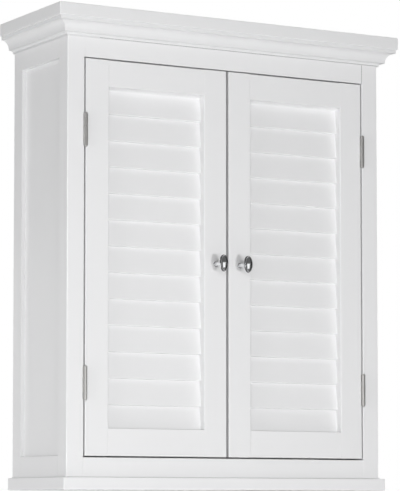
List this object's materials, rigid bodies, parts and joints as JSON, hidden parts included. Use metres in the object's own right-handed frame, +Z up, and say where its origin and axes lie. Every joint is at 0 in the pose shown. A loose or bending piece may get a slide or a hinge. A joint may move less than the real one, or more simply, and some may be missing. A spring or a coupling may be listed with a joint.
{
  "type": "wall-mounted bathroom cabinet",
  "caption": "White wall cabinet with louvred doors on butt hinges, oval chrome knobs, a cove crown moulding, framed sides and a loose inner shelf.",
  "frame": {"origin": "middle of the hanging rail's back face, which is screwed to the wall", "axes": "+Y into the wall, +Z up, +X to the right of someone who faces the doors; the doors face -Y"},
  "size_m": [0.508, 0.1845, 0.6096],
  "materials": {
    "painted_wood": "smooth satin white paint",
    "white_board": "white melamine-faced board and primed rails, matt",
    "chrome": "polished chrome",
    "hinge_steel": "satin nickel-plated steel",
    "catch_plastic": "moulded white plastic"
  },
  "bodies": {
    "cabinet": {"top_board": "painted_wood", "bottom_board": "painted_wood", "crown_front": "painted_wood", "crown_left": "painted_wood", "crown_right": "painted_wood", "left_front_post": "painted_wood", "left_rear_post": "painted_wood", "right_front_post": "painted_wood", "right_rear_post": "painted_wood", "front_top_rail": "painted_wood", "front_bottom_rail": "painted_wood", "left_side_top_rail": "painted_wood", "left_side_bottom_rail": "painted_wood", "left_side_panel": "painted_wood", "right_side_top_rail": "painted_wood", "right_side_bottom_rail": "painted_wood", "right_side_panel": "painted_wood", "back_panel": "white_board", "hanging_rail": "white_board", "lower_back_rail": "white_board", "left_front_shelf_pin": "hinge_steel", "left_rear_shelf_pin": "hinge_steel", "right_front_shelf_pin": "hinge_steel", "right_rear_shelf_pin": "hinge_steel", "catch_rail": "painted_wood", "left_catch": "catch_plastic", "right_catch": "catch_plastic", "left_top_hinge_post_leaf": "hinge_steel", "left_bottom_hinge_post_leaf": "hinge_steel", "right_top_hinge_post_leaf": "hinge_steel", "right_bottom_hinge_post_leaf": "hinge_steel", "left_top_hinge_pin": "hinge_steel", "left_bottom_hinge_pin": "hinge_steel", "right_top_hinge_pin": "hinge_steel", "right_bottom_hinge_pin": "hinge_steel"},
    "shelf": {"shelf": "painted_wood"},
    "left_door": {"left_door_hinge_stile": "painted_wood", "left_door_meeting_stile": "painted_wood", "left_door_top_rail": "painted_wood", "left_door_bottom_rail": "painted_wood", "left_door_louvre": "painted_wood", "left_top_hinge_door_leaf": "hinge_steel", "left_bottom_hinge_door_leaf": "hinge_steel", "left_knob": "chrome", "left_knob_screw": "hinge_steel", "left_strike": "hinge_steel"},
    "right_door": {"right_door_hinge_stile": "painted_wood", "right_door_meeting_stile": "painted_wood", "right_door_top_rail": "painted_wood", "right_door_bottom_rail": "painted_wood", "right_door_louvre": "painted_wood", "right_top_hinge_door_leaf": "hinge_steel", "right_bottom_hinge_door_leaf": "hinge_steel", "right_knob": "chrome", "right_knob_screw": "hinge_steel", "right_strike": "hinge_steel"}
  },
  "joints": [
    {"name": "left_door_hinge", "type": "hinge", "parent": "cabinet", "child": "left_door", "pos_m": [-0.20775, -0.1592, -0.26925], "axis": [0, 0, -1], "range_deg": [0, 170]},
    {"name": "right_door_hinge", "type": "hinge", "parent": "cabinet", "child": "right_door", "pos_m": [0.20775, -0.1592, -0.26925], "axis": [0, 0, 1], "range_deg": [0, 170]},
    {"name": "shelf_lift", "type": "slide", "parent": "cabinet", "child": "shelf", "axis": [0, 0, 1], "range_m": [0, 0.02]}
  ]
}
